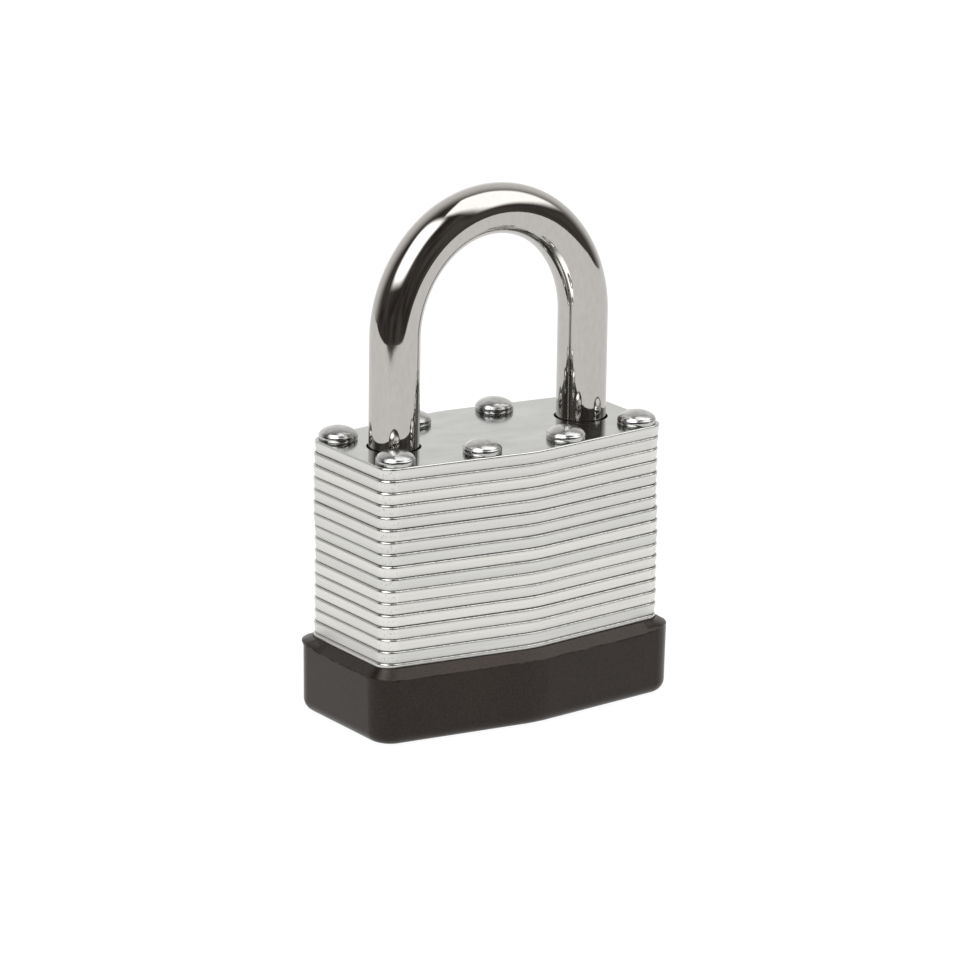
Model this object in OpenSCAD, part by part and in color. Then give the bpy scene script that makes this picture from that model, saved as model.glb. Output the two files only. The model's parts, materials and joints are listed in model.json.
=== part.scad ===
// Laminated padlock: a riveted stack of steel plates in a plastic bumper,
// with a lifting shackle, two locking bolts and a pin-tumbler cylinder.
// Millimetres, +Z up, +X along the width, front face towards -Y, origin at
// the centre of the bumper's underside. It is drawn with the shackle down
// and the bolts drawn back.

/* [Plates] */
// Width of a plate
plate_w = 40.4; // [38.6:0.1:46]
// Depth of a plate at its two ends
plate_d = 16.6; // [15.8:0.1:20]
// How far the front and back faces bulge at the middle
face_bulge = 2.4; // [1.5:0.1:4]
// Radius of a plate's four corners
corner_r = 2; // [0.5:0.1:2.4]
// Radius of the soft bend down the middle of the front and back
ridge_r = 12; // [2:0.5:20]
// Thickness of one plate
plate_t = 1.5; // [1.4:0.05:1.8]
// How far the upper plates sit out of line with the rest
stack_slop = 0.1; // [0:0.01:0.15]
// How far the plates hidden in the bumper stand back from its wall plates
hidden_inset = 0.6; // [0.4:0.1:1]

/* [Stack] */
// Height of the plates under the cylinder, to the nearest whole plate, as are all below
cover_room = 1.5; // [1.4:0.1:3]
// Height of the plates round the cylinder
cylinder_room = 18; // [16.5:0.5:21]
// Height of the plates round the plug's ring and the cam
cam_room = 3; // [3:0.5:4]
// Height of the plates round the locking bolts
bolt_room = 3; // [3:0.5:4]
// Height of the plates over the bolts, which guide the legs
guide_room = 6; // [4.5:0.5:9]
// Height above the cover at which the heel leg's hole widens for its clip
spring_room = 4.5; // [3:0.5:6]
// Height in the stack of the plate that the bumper's ledge holds
ledge_room = 3; // [3:0.5:4.5]
// Height in the stack of the lowest plate that stands clear of the bumper's wall
hidden_room = 6; // [6:0.5:7.5]

/* [Bumper] */
// Thickness of the bumper's floor
bumper_floor = 2.4; // [2:0.1:4]
// How far the bumper stands out from the plates all round
bumper_over = 1.4; // [0.8:0.05:2]
// How far the bumper rises round the lowest plate of full size above its ledge
bumper_cover = 0.95; // [0.4:0.05:1.2]
// Drop of the sloped rim round the bumper's top
rim_drop = 1.2; // [0.5:0.05:2.5]
// Width left at the top of the sloped rim
rim_lip = 0.15; // [0.1:0.05:0.4]
// Radius of the bumper's lower edge
bottom_round = 1.5; // [0.5:0.1:2]
// Width of the hole that the key goes in through
mouth_d = 12; // [11:0.2:13]
// Width of the bevel round the key hole
mouth_bevel = 0.6; // [0.2:0.1:1]
// Play between the bumper and the plates in it
bumper_gap = 0.05; // [0.02:0.01:0.1]

/* [Rivets] */
// Diameter of a rivet's shank
rivet_d = 3.2; // [2.8:0.1:3.4]
// Diameter of a rivet's head
rivet_head_d = 4.7; // [4:0.1:4.8]
// Height of the straight rim of a rivet's head
rivet_rim_h = 0.7; // [0.2:0.05:0.9]
// Height of the dome on a rivet's head, above its rim
rivet_dome_h = 0.9; // [0.4:0.05:1.2]
// Step between the rim and the dome
rivet_step = 0.1; // [0.05:0.05:0.3]
// Distance of a rivet's centre from the front or back face
rivet_inset = 2.4; // [2.35:0.05:2.7]
// Distance of an end rivet's centre from the plate's end
rivet_end = 2.8; // [2.5:0.1:3.1]
// Distance between the two middle rivets along the width
rivet_middle = 12; // [11:0.2:13]
// Height of the flattened tail under the lowest plate
rivet_tail_h = 0.8; // [0.5:0.1:1.2]
// Diameter of the flattened tail
rivet_tail_d = 4.4; // [4:0.1:4.8]

/* [Shackle] */
// Diameter of the shackle's bar
shackle_d = 6.1; // [5:0.1:6.4]
// Distance of a leg's centre line from the plates' end
leg_edge = 6.65; // [6.3:0.05:6.9]
// Straight length of a leg above the top plate
leg_rise = 13.8; // [8:0.1:40]
// Play round a leg in its holes
leg_gap = 0.25; // [0.15:0.05:0.3]
// Bevel on the ends of the legs
leg_bevel = 0.6; // [0.2:0.1:1]
// Thickness of the clip that keeps the heel leg in
clip_t = 0.7; // [0.5:0.1:0.9]
// How far the clip stands out from the leg
clip_reach = 0.9; // [0.7:0.1:1]
// Depth of the clip's groove
clip_groove = 0.8; // [0.5:0.1:1]

/* [Bolts] */
// How far each locking bolt moves out
bolt_throw = 1.8; // [1.4:0.1:2]
// Width of a bolt
bolt_w = 5.6; // [5:0.1:5.8]
// Play above, below and beside a bolt
bolt_gap = 0.1; // [0.05:0.05:0.15]
// Play between a drawn bolt's nose and the leg
nose_gap = 0.2; // [0.1:0.05:0.4]
// Bevel on a bolt's nose
nose_bevel = 0.5; // [0.2:0.1:0.8]
// Diameter of a driving stud on the cam
stud_d = 1.2; // [1:0.1:1.3]
// Play beside a stud in its slot
stud_gap = 0.2; // [0.15:0.05:0.3]

/* [Cylinder] */
// Diameter of the plug that turns
plug_d = 10; // [9.6:0.1:10.2]
// Running play round the plug
plug_gap = 0.05; // [0.02:0.01:0.1]
// Diameter of the round part of the cylinder's body
barrel_d = 14; // [13.6:0.1:14.4]
// Diameter of the plug's face
face_d = 8.8; // [8:0.1:9]
// How far the plug's face lies above the bottom of the lowest plate
face_recess = 0.5; // [0.2:0.1:1]
// Reach of the pin stack from the plug's axis
stack_reach = 13; // [12.6:0.1:13.2]
// Width of the pin stack
stack_w = 5.2; // [4.6:0.1:5.6]
// Number of pins
pin_count = 4; // [3:1:4]
// Distance between pins
pin_pitch = 3.4; // [3:0.1:3.6]
// Diameter of a pin
pin_d = 2.4; // [2:0.1:2.6]
// Length of a driver pin
driver_l = 2.5; // [2:0.1:3]
// Width of the keyway
keyway_w = 2; // [1.6:0.1:2.2]
// Reach of the keyway from the plug's axis, away from the pins
keyway_low = 3.7; // [3.2:0.1:4]
// Reach of the keyway from the plug's axis, towards the pins
keyway_high = 2.5; // [2.3:0.1:3]
// Thickness of the two wards that stand into the keyway
ward_w = 0.5; // [0.3:0.05:0.7]
// Height of a ward
ward_h = 0.8; // [0.5:0.1:1]
// Thickness of the strip over the pin holes
strip_t = 0.8; // [0.6:0.1:1]

/* [Springs] */
// Wire diameter of the shackle's spring
spring_wire = 0.6; // [0.4:0.05:0.7]
// Outer diameter of the shackle's spring
spring_d = 5.8; // [5.2:0.1:6]
// Wire diameter of a pin spring
pin_wire = 0.3; // [0.2:0.05:0.35]

/* [Hidden] */
// The stack, counted in whole plates from the lowest one
function plates_in(room) = max(1, round(room / plate_t));
function level(i) = bumper_floor + i * plate_t;
cover_plates = plates_in(cover_room);
cylinder_plates = plates_in(cylinder_room);
bolt_plates = plates_in(bolt_room);
first_cam = cover_plates + cylinder_plates;
first_bolt = first_cam + plates_in(cam_room);
first_guide = first_bolt + bolt_plates;
plate_count = first_guide + plates_in(guide_room);
first_heel_pocket = cover_plates + plates_in(spring_room);
ledge_plate = plates_in(ledge_room);
first_full = plates_in(hidden_room);
bumper_h = level(first_full) + bumper_cover;
cylinder_z = level(cover_plates);
cam_z = level(first_cam);
chamber_z = level(first_bolt);
guide_z = level(first_guide);
top_z = level(plate_count);

// Facets: of full circles, and of each rounded corner of an outline
round_fn = 64;
corner_steps = 5;
least_r = 0.3;
cut = 0.5;

// Rivets
rivet_end_x = plate_w / 2 - rivet_end;
rivet_mid_x = rivet_middle / 2;
function face_y(x) = plate_d / 2 + face_bulge * (1 - abs(x) / (plate_w / 2));
function rivet_y(x) = face_y(x) - rivet_inset;
rivet_spots = [for (x = [-rivet_end_x, -rivet_mid_x, rivet_mid_x, rivet_end_x], side = [-1, 1])
    [x, side * rivet_y(x)]];

// Shackle
leg_r = shackle_d / 2;
leg_x = plate_w / 2 - leg_edge;
leg_hole_r = leg_r + leg_gap;
arch_z = top_z + leg_rise;
end_gap = 0.2;
toe_z = chamber_z - plate_t + end_gap;
heel_z = level(first_heel_pocket) + 3 * end_gap;
clip_z = heel_z + clip_t;
clip_r = leg_r + clip_reach;
clip_bore_r = leg_r - clip_groove;
clip_play = 0.05;
heel_pocket_r = clip_r + leg_gap;
lift = cam_z - clip_z - clip_t - clip_play - leg_gap;

// Bolts and cam
nose_x = leg_x - leg_r - nose_gap;
notch_x = nose_x + bolt_throw + leg_gap;
notch_gap = end_gap;
bolt_z = chamber_z + bolt_gap;
bolt_t = bolt_plates * plate_t - 2 * bolt_gap;
stud_r = stud_d / 2;
stud_reach = bolt_throw / 2;
stud_orbit = stud_reach * sqrt(2);
tail_gap = 0.15;
tail_wall = 1.3;
tail_end = stud_reach + stud_r + stud_gap + tail_wall;
shoulder_x = tail_end + 4 * tail_gap;
slot_y = stud_orbit + stud_r + stud_gap;
chamber_w = bolt_w + 2 * tail_gap;
chamber_x = notch_x;

// Cylinder
plug_r = plug_d / 2;
plug_bore_r = plug_r + plug_gap;
barrel_r = barrel_d / 2;
face_z = bumper_floor + face_recess;
face_r = face_d / 2;
face_gap = 0.3;
plug_z = cylinder_z + 2 * plug_gap;
plug_top = cam_z + plate_t - end_gap;
ring_t = 0.6;
ring_play = 0.05;
ring_z = cam_z + 3 * ring_play;
ring_groove = 0.7;
ring_reach = 0.9;
ring_r = plug_r + ring_reach;
ring_hole_r = ring_r + 2 * end_gap;
cam_r = 3.8;
cam_top = chamber_z - face_gap;
cam_hole_r = cam_r + 2 * face_gap;
tenon_w = 1.6;
tenon_l = 5;
tenon_h = 0.7;
stud_top = guide_z - 4 * bolt_gap;
pin_r = pin_d / 2;
pin_gap = 0.05;
pin_hole_r = pin_r + pin_gap;
pin_hole_y = 1.2;
pin_z0 = cylinder_z + (cylinder_plates * plate_t - (pin_count - 1) * pin_pitch) / 2;
function pin_z(i) = pin_z0 + i * pin_pitch;
key_pin_end = sqrt(plug_r * plug_r - pin_r * pin_r) - pin_gap;
key_pin_tips = [1.6, 2.2, 1.3, 1.9];
pin_tip_l = 0.8;
driver_x = plug_bore_r + pin_gap;
pin_spring_turns = 5;
spring_turns = 6;
spring_play = 0.05;
strip_x = stack_reach - strip_t;
strip_edge = 1;
strip_w = stack_w - 2 * strip_edge;
strip_l = cylinder_plates * plate_t - 2 * plate_t;
keyway_z = plug_top - 2 * plate_t;
low_ward_y = -2 * ward_h;
high_ward_y = 0;

// Bumper
function bumper_round(a) = [bumper_over - bottom_round * (1 - sin(a)), bottom_round * (1 - cos(a))];
bumper_profile = [each [for (a = [0:22.5:90]) bumper_round(a)],
    [bumper_over, bumper_h - rim_drop], [rim_lip, bumper_h]];
tail_play = 0.1;
tail_pocket_r = rivet_tail_d / 2 + 3 * tail_play;
tail_pocket_h = rivet_tail_h + tail_play;

function two(i) = i < 10 ? str("0", i) : str(i);
function plate_name(i) = str("plate_", two(i + 1));
PLATES = [for (i = [0:plate_count - 1]) plate_name(i)];

// ---- shared shapes ----

function unit(v) = v / norm(v);

// Points of the arc that rounds corner b between a and c with radius r
function fillet(a, b, c, r) = let(u = unit(a - b), v = unit(c - b), half = acos(u * v) / 2,
        centre = b + unit(u + v) * r / sin(half), start = b + u * r / tan(half) - centre,
        from = atan2(start.y, start.x))
    [for (i = [0:corner_steps]) let(t = from + (180 - 2 * half) * i / corner_steps)
        centre + r * [cos(t), sin(t)]];

// Outline of the body, grown or shrunk by a margin: six sides, all corners rounded
function body_points(grow) = let(x = plate_w / 2 + grow, y = plate_d / 2 + grow, m = y + face_bulge,
        v = [[-x, -y], [0, -m], [x, -y], [x, y], [0, m], [-x, y]])
    [for (i = [0:5]) each fillet(v[(i + 5) % 6], v[i], v[(i + 1) % 6],
        i % 3 == 1 ? ridge_r + grow : max(corner_r + grow, least_r))];

module body_slab(grow, z, height) {
    translate([0, 0, z])
        linear_extrude(height)
            polygon(body_points(grow));
}

// Solid through the body's outline at each [margin, height] of a profile, lowest first
module body_loft(profile) {
    sides = len(body_points(0));
    last = len(profile) - 1;
    points = [for (step = profile, p = body_points(step[0])) [p.x, p.y, step[1]]];
    walls = [for (k = [0:last - 1], s = [0:sides - 1])
        let(n = (s + 1) % sides, low = k * sides, high = low + sides)
        each [[low + s, high + n, low + n], [low + s, high + s, high + n]]];
    base = [for (s = [0:sides - 1]) s];
    lid = [for (s = [sides - 1:-1:0]) last * sides + s];
    polyhedron(points, concat([base], walls, [lid]), convexity = 4);
}

module post(r, z0, z1, at = [0, 0]) {
    translate([at.x, at.y, z0])
        cylinder(r = r, h = z1 - z0, $fn = round_fn);
}

module block(low, high) {
    translate(low)
        cube(high - low);
}

// Coil spring of round wire standing on the XY plane, ends left as cut
module coil(radius, wire, length, turns, steps = 14, sides = 8) {
    rings = turns * steps;
    wire_r = wire / 2;
    rise = (length - wire) / rings;
    points = [for (k = [0:rings], s = [0:sides - 1])
        let(t = 360 * k / steps, a = 360 * s / sides, reach = radius + wire_r * cos(a))
        [reach * cos(t), reach * sin(t), wire_r + rise * k + wire_r * sin(a)]];
    walls = [for (k = [0:rings - 1], s = [0:sides - 1])
        let(n = (s + 1) % sides, low = k * sides, high = low + sides)
        each [[low + s, low + n, high + n], [low + s, high + n, high + s]]];
    start = [for (s = [sides - 1:-1:0]) s];
    finish = [for (s = [0:sides - 1]) rings * sides + s];
    polyhedron(points, concat([start], walls, [finish]), convexity = 10);
}

// ---- bumper ----

module bumper() {
    color("#2b2b2c")
        difference() {
            body_loft(bumper_profile);
            body_slab(bumper_gap - hidden_inset, bumper_floor, bumper_h);
            body_slab(bumper_gap, level(ledge_plate) - bumper_gap, plate_t + 2 * bumper_gap);
            body_slab(bumper_gap, level(first_full), bumper_h);
            for (spot = rivet_spots)
                post(tail_pocket_r, bumper_floor - tail_pocket_h, bumper_floor + cut, spot);
            post(mouth_d / 2, -cut, bumper_floor + cut);
            translate([0, 0, -cut])
                cylinder(r1 = mouth_d / 2 + mouth_bevel + cut, r2 = mouth_d / 2,
                    h = mouth_bevel + cut, $fn = round_fn);
        }
}

// ---- laminated stack ----

// Small sideways error of one plate: the upper ones lean to the left and back, the others a
// little to the right; the top plate and those in the bumper are true
function plate_slop(i) = i <= first_full || i == plate_count - 1 ? [0, 0]
    : stack_slop * ((i >= plate_count - 7 ? [-1, 0.6] : [0.6, -0.2]) + [sin(137 * i), cos(83 * i)] / 4);

// Margin of one plate: those low in the bumper are smaller, but for one that its ledge holds
function plate_grow(i) = i >= first_full || i == ledge_plate ? 0 : -hidden_inset;

module heel_hole(i) {
    if (i >= first_cam)
        post(leg_hole_r, level(i) - cut, level(i + 1) + cut, [-leg_x, 0]);
    else if (i >= first_heel_pocket)
        post(heel_pocket_r, level(i) - cut, level(i + 1) + cut, [-leg_x, 0]);
    else if (i >= cover_plates)
        post(spring_d / 2 + 2 * leg_gap, level(i) - cut, level(i + 1) + cut, [-leg_x, 0]);
}

module toe_hole(i) {
    if (i >= first_bolt - 1)
        post(leg_hole_r, level(i) - cut, level(i + 1) + cut, [leg_x, 0]);
}

module middle_hole(i) {
    z0 = level(i) - cut;
    z1 = level(i + 1) + cut;
    if (i < cover_plates)
        post(face_r + face_gap, z0, z1);
    else if (i < first_cam)
        cylinder_outline(2 * plug_gap, z0, z1);
    else if (i < first_bolt - 1)
        post(ring_hole_r, z0, z1);
    else if (i < first_bolt)
        post(cam_hole_r, z0, z1);
    else if (i < first_guide)
        block([-chamber_x, -chamber_w / 2, z0], [chamber_x, chamber_w / 2, z1]);
}

module plate(i) {
    slop = plate_slop(i);
    color(i == plate_count - 1 ? "#c8cac8" : "#d7d6d2")
        difference() {
            translate([slop.x, slop.y, 0])
                body_slab(plate_grow(i), level(i), plate_t);
            for (spot = rivet_spots)
                post(rivet_d / 2, level(i) - cut, level(i + 1) + cut, spot);
            heel_hole(i);
            toe_hole(i);
            middle_hole(i);
        }
}

module rivet() {
    head_r = rivet_head_d / 2;
    dome_r = head_r - rivet_step;
    ball_r = (dome_r * dome_r + rivet_dome_h * rivet_dome_h) / (2 * rivet_dome_h);
    dome_end = asin(dome_r / ball_r);
    dome_steps = 6;
    rotate_extrude($fn = round_fn)
        polygon([
            [0, bumper_floor - rivet_tail_h],
            [rivet_tail_d / 2, bumper_floor - rivet_tail_h],
            [rivet_tail_d / 2, bumper_floor],
            [rivet_d / 2, bumper_floor],
            [rivet_d / 2, top_z],
            [head_r, top_z],
            [head_r, top_z + rivet_rim_h],
            each [for (k = [0:dome_steps]) let(a = dome_end * (1 - k / dome_steps))
                [ball_r * sin(a), top_z + rivet_rim_h + rivet_dome_h - ball_r * (1 - cos(a))]]
        ]);
}

module rivets() {
    color("#dcdcdc")
        for (spot = rivet_spots)
            translate([spot.x, spot.y, 0])
                rivet();
}

// ---- shackle ----

module arch() {
    translate([0, 0, arch_z])
        rotate([90, 0, 0])
            rotate_extrude(angle = 180, $fn = 2 * round_fn)
                translate([leg_x, 0])
                    circle(r = leg_r, $fn = round_fn);
}

module leg(x, low) {
    post(leg_r, low + leg_bevel, arch_z, [x, 0]);
    translate([x, 0, low])
        cylinder(r1 = leg_r - leg_bevel, r2 = leg_r, h = leg_bevel, $fn = round_fn);
}

// Flat-bottomed notch in the inner side of a leg, for a bolt's nose
module notch(side, drop) {
    inner = leg_x - leg_r - cut;
    z0 = chamber_z - notch_gap - drop;
    z1 = guide_z + notch_gap - drop;
    block([min(side * inner, side * notch_x), -leg_r - cut, z0],
        [max(side * inner, side * notch_x), leg_r + cut, z1]);
}

module shackle() {
    color("#c9c6c2")
        difference() {
            union() {
                leg(-leg_x, heel_z);
                leg(leg_x, toe_z);
                arch();
            }
            notch(1, 0);
            notch(-1, 0);
            notch(-1, lift);
            difference() {
                post(leg_r + cut, clip_z, clip_z + clip_t + 2 * clip_play, [-leg_x, 0]);
                post(clip_bore_r, clip_z - cut, clip_z + clip_t + cut, [-leg_x, 0]);
            }
        }
}

module heel_clip() {
    mouth = clip_bore_r * 1.4;
    color("#8d8f91")
        translate([-leg_x, 0, clip_z + clip_play])
            difference() {
                post(clip_r, 0, clip_t);
                post(clip_bore_r + clip_play, -cut, clip_t + cut);
                block([0, -mouth / 2, -cut], [clip_r + cut, mouth / 2, clip_t + cut]);
            }
}

module shackle_spring() {
    color("#9a9c9e")
        translate([-leg_x, 0, cylinder_z + spring_play])
            coil((spring_d - spring_wire) / 2, spring_wire, heel_z - cylinder_z - 2 * spring_play,
                spring_turns);
}

// ---- locking bolts and cam ----

// Bolt for the right leg: a broad nose, and a narrow tail that a cam stud drives
module bolt_shape() {
    half = bolt_w / 2;
    slot = stud_r + stud_gap;
    difference() {
        union() {
            polygon([[shoulder_x, -half], [nose_x - nose_bevel, -half], [nose_x, nose_bevel - half],
                [nose_x, half - nose_bevel], [nose_x - nose_bevel, half], [shoulder_x, half]]);
            translate([-tail_end, tail_gap])
                square([tail_end + shoulder_x + tail_gap, half - tail_gap]);
        }
        translate([-stud_reach - slot, -half])
            square([2 * slot, half + slot_y]);
    }
}

module bolt(turn) {
    color("#b5b6b4")
        rotate([0, 0, turn])
            translate([0, 0, bolt_z])
                linear_extrude(bolt_t)
                    bolt_shape();
}

module bolt_right() bolt(0);
module bolt_left() bolt(180);

module cam() {
    color("#c9b27a")
        difference() {
            union() {
                post(cam_r, plug_top, cam_top);
                for (side = [-1, 1])
                    post(stud_r, cam_top - tenon_h / 2, stud_top, side * [-stud_reach, stud_reach]);
            }
            translate([0, 0, plug_top - cut])
                rotate([0, 0, 45])
                    linear_extrude(tenon_h + 2 * plug_gap + cut)
                        square([tenon_l + 2 * plug_gap, tenon_w + 2 * plug_gap], center = true);
        }
}

// ---- cylinder ----

module cylinder_outline(gap, z0, z1) {
    post(barrel_r + gap, z0, z1);
    block([0, -stack_w / 2 - gap, z0], [stack_reach + gap, stack_w / 2 + gap, z1]);
}

module along_x() {
    rotate([0, 90, 0])
        children();
}

module cylinder_body() {
    color("#b9a36a")
        difference() {
            cylinder_outline(0, cylinder_z, cam_z);
            post(plug_bore_r, cylinder_z - cut, cam_z + cut);
            for (i = [0:pin_count - 1])
                translate([plug_r - cut, 0, pin_z(i)])
                    along_x()
                        cylinder(r = pin_hole_r, h = strip_x + cut - plug_r, $fn = round_fn);
            block([strip_x, -strip_w / 2, cylinder_z + plate_t],
                [stack_reach + cut, strip_w / 2, cylinder_z + plate_t + strip_l]);
        }
}

module cylinder_strip() {
    color("#d0b878")
        block([strip_x, -strip_w / 2, cylinder_z + plate_t],
            [stack_reach, strip_w / 2, cylinder_z + plate_t + strip_l]);
}

module driver_pins() {
    color("#d8c084")
        for (i = [0:pin_count - 1])
            translate([driver_x, 0, pin_z(i)])
                along_x()
                    cylinder(r = pin_r, h = driver_l, $fn = round_fn);
}

module pin_springs() {
    color("#9a9c9e")
        for (i = [0:pin_count - 1])
            translate([driver_x + driver_l, 0, pin_z(i)])
                along_x()
                    coil(pin_r - pin_wire / 2 - 2 * pin_gap, pin_wire, strip_x - driver_x - driver_l,
                        pin_spring_turns, 10, 6);
}

// Keyway, with a ward on each side, in line with the pins
module keyway_shape() {
    half = keyway_w / 2;
    difference() {
        translate([-half, -keyway_low])
            square([keyway_w, keyway_low + keyway_high]);
        translate([-half - cut, low_ward_y])
            square([ward_w + cut, ward_h]);
        translate([half - ward_w, high_ward_y])
            square([ward_w + cut, ward_h]);
    }
}

module plug() {
    color("#c8ad62")
        difference() {
            union() {
                post(face_r, face_z, plug_z + cut);
                post(plug_r, plug_z, plug_top);
                translate([0, 0, plug_top - cut])
                    rotate([0, 0, 45])
                        linear_extrude(tenon_h + cut)
                            square([tenon_l, tenon_w], center = true);
            }
            translate([0, 0, face_z - cut])
                linear_extrude(keyway_z - face_z + cut)
                    keyway_shape();
            for (i = [0:pin_count - 1])
                translate([0, pin_hole_y, pin_z(i)])
                    rotate([-90, 0, 0])
                        cylinder(r = pin_hole_r, h = plug_r, $fn = round_fn);
            difference() {
                post(plug_r + cut, ring_z, ring_z + ring_t + 2 * ring_play);
                post(plug_r - ring_groove, ring_z - cut, ring_z + ring_t + cut);
            }
        }
}

module key_pins() {
    color("#d8c084")
        for (i = [0:pin_count - 1])
            translate([0, key_pin_tips[i], pin_z(i)])
                rotate([-90, 0, 0]) {
                    cylinder(r1 = pin_r - pin_tip_l / 2, r2 = pin_r, h = pin_tip_l, $fn = round_fn);
                    translate([0, 0, pin_tip_l])
                        cylinder(r = pin_r, h = key_pin_end - key_pin_tips[i] - pin_tip_l, $fn = round_fn);
                }
}

module plug_ring() {
    groove_r = plug_r - ring_groove;
    mouth = groove_r * 1.3;
    color("#8d8f91")
        translate([0, 0, ring_z + ring_play])
            difference() {
                post(ring_r, 0, ring_t);
                post(groove_r + ring_play, -cut, ring_t + cut);
                block([0, -mouth / 2, -cut], [ring_r + cut, mouth / 2, ring_t + cut]);
            }
}

bumper();
for (i = [0:plate_count - 1])
    plate(i);
rivets();
shackle();
heel_clip();
shackle_spring();
bolt_left();
bolt_right();
cam();
plug();
plug_ring();
cylinder_body();
cylinder_strip();
key_pins();
driver_pins();
pin_springs();
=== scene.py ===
# %% [markdown]
# # A laminated padlock
# The lock is a stack of stamped steel plates, held together by eight rivets and standing in a
# moulded plastic bumper. A chromed shackle lifts out of it. The solid model of all its parts is
# loaded first, as a fixed frame. Everything that is modelled here takes its place from that frame,
# so that the good-looking parts sit exactly where the working parts are. All lengths are in metres,
# which is why the small sizes of a lock are written as a number times `mm`.

# %% Load the solid model
import json
import math

import bmesh
import bpy
from mathutils import Matrix, Vector

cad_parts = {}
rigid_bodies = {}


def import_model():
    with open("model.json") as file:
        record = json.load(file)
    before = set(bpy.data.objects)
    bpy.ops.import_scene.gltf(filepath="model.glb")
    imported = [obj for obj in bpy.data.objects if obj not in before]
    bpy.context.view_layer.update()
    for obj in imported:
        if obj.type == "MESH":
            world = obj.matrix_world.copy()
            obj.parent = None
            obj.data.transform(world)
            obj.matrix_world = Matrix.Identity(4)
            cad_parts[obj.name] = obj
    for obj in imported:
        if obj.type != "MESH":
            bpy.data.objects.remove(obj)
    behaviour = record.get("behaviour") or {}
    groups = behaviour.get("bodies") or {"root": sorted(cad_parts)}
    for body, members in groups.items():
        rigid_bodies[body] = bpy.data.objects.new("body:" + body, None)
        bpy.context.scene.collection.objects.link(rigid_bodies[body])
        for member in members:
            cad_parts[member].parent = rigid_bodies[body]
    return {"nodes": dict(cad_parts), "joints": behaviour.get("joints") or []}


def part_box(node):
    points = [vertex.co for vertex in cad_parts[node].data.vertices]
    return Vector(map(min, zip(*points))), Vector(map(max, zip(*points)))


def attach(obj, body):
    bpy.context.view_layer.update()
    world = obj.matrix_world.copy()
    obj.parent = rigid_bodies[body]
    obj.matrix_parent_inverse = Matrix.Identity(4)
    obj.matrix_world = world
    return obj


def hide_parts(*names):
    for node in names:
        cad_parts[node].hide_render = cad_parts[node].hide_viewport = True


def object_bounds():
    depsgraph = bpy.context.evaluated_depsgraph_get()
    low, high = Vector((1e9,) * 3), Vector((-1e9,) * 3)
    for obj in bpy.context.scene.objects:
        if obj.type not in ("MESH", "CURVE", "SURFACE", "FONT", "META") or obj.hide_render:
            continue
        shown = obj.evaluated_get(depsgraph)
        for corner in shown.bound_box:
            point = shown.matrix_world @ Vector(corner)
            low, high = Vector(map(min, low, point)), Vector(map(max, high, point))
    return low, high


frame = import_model()
solid_low, solid_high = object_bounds()
mm = 0.001
print("solid parts:", len(frame["nodes"]), "size in mm:", [round(v / mm, 2) for v in solid_high - solid_low])

# %% [markdown]
# ## Sizes
# A size that the solid model already has is read from it. Only the shape of the outline is named
# here: six sides, a small radius at each of the four corners, and a soft bend down the middle of
# the front and the back.

# %% Sizes read from the solid parts
plate_names = sorted(name for name in frame["nodes"] if name.startswith("plate_"))
top_low, top_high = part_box(plate_names[-1])
plate_t = top_high.z - top_low.z
plate_w = top_high.x - top_low.x
stack_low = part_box(plate_names[0])[0].z
stack_high = top_high.z
half_w = plate_w / 2
end_depth = 16.6 * mm
half_d = end_depth / 2
face_bulge = 2.4 * mm
corner_r = 2 * mm
ridge_r = 12 * mm
bumper_low, bumper_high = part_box("bumper")
shown_plates = [name for name in plate_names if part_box(name)[1].z > bumper_high.z]
joint_limit = {joint["name"]: joint["range_m"][1] for joint in frame["joints"] if "range_m" in joint}
print("plates:", len(plate_names), "shown:", len(shown_plates), "width mm:", round(plate_w / mm, 2))
print("joint limits:", joint_limit)

# %% [markdown]
# ## Modelling helpers
# Blender's operators act on whatever is selected, so each helper starts by clearing the selection.
# `pick` selects faces, edges or vertices by a test of their place or direction, which is what a
# modeller does by eye.

# %% Helpers for starting and picking
# Places nearer than a hair count as the same, and vertices nearer than a touch become one
hair = 1e-6
touch = 1e-7
print("a hair is", hair / mm, "mm, a touch is", touch / mm, "mm")


def only(piece):
    """Make one object the only selected one, and the active one."""
    bpy.ops.object.select_all(action="DESELECT")
    piece.select_set(True)
    bpy.context.view_layer.objects.active = piece


def new_piece(name):
    """Name the primitive just added, put its place in its mesh and open it for editing."""
    piece = bpy.context.active_object
    piece.name = name
    piece.data.name = name
    only(piece)
    bpy.ops.object.transform_apply(location=True, rotation=True, scale=True)
    bpy.ops.object.mode_set(mode="EDIT")
    return piece


def pick(kind, test):
    """Select the elements of a kind (VERT, EDGE or FACE) that pass a test of middle and element."""
    mesh = bpy.context.edit_object.data
    bpy.ops.mesh.select_mode(type=kind)
    bpy.ops.mesh.select_all(action="DESELECT")
    shape = bmesh.from_edit_mesh(mesh)
    group = {"VERT": shape.verts, "EDGE": shape.edges, "FACE": shape.faces}[kind]
    for item in group:
        if kind == "VERT":
            middle = item.co
        elif kind == "EDGE":
            middle = (item.verts[0].co + item.verts[1].co) / 2
        else:
            middle = item.calc_center_median()
        if test(middle, item):
            item.select_set(True)
    shape.select_flush_mode()
    bmesh.update_edit_mesh(mesh)


def upright(edge):
    """True for an edge that runs straight up."""
    first, second = edge.verts
    return (first.co - second.co).xy.length < touch


# %% Helpers for finishing
smooth_below = 35
print("faces that meet at less than", smooth_below, "degrees are shaded smooth")


def close_piece():
    """Turn all faces of the piece in hand outwards and leave edit mode."""
    bpy.ops.mesh.select_all(action="SELECT")
    bpy.ops.mesh.remove_doubles(threshold=touch)
    bpy.ops.mesh.normals_make_consistent(inside=False)
    bpy.ops.object.mode_set(mode="OBJECT")


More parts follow.
